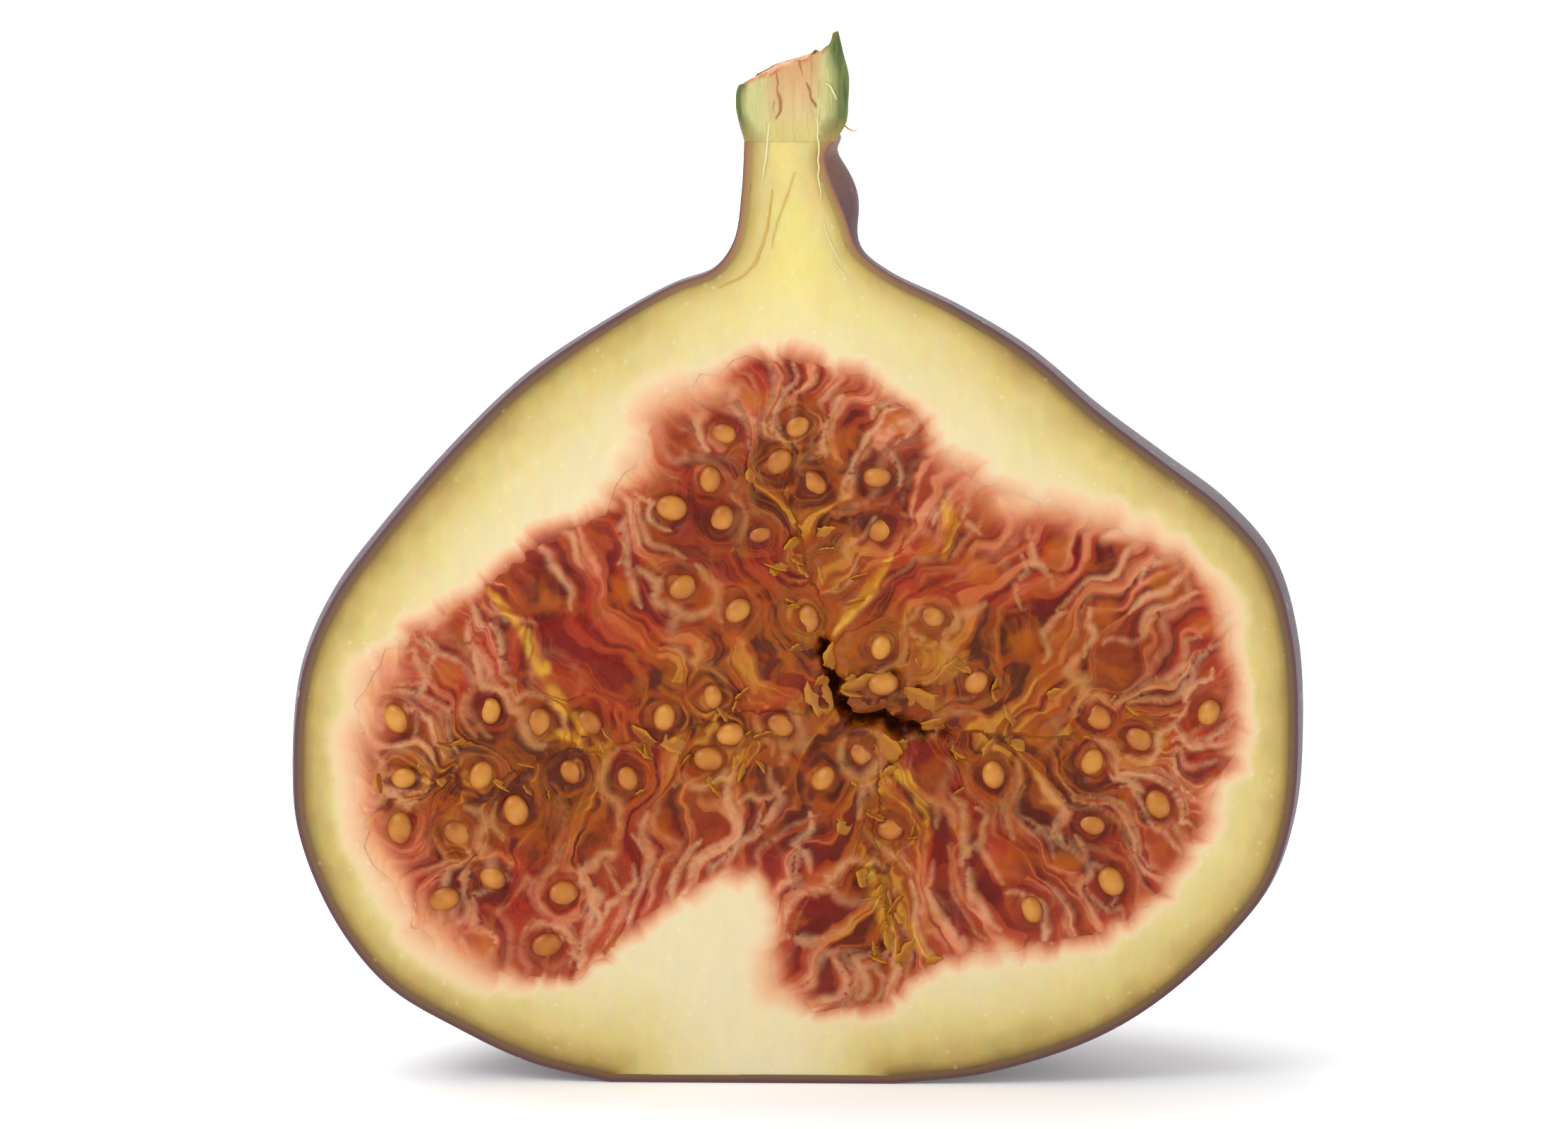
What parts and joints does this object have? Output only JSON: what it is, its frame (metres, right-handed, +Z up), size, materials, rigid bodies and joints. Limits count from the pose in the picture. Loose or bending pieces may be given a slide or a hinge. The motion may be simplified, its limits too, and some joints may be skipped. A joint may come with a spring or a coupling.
{
  "type": "fresh fig half",
  "caption": "Ripe fig halved lengthwise, standing on its flat base: thin dark peel, pale flesh wall, red pulp of florets and seeds round a narrow hollow, and a torn stalk stub on the neck.",
  "frame": {"origin": "under the middle of the box round the half fig, on the surface that it stands on", "axes": "+Z up to the stalk, the cut face towards -Y and the rounded back towards +Y, +X to the right as seen from in front of the cut face"},
  "size_m": [0.0524, 0.028, 0.0548],
  "materials": {
    "peel": "waxy with a pale bloom",
    "flesh": "moist satin",
    "pulp": "wet gloss",
    "stalk": "dull, dried at the tip"
  },
  "bodies": {
    "root": {"peel": "peel", "flesh": "flesh", "pulp": "pulp", "stalk": "stalk"}
  },
  "joints": []
}
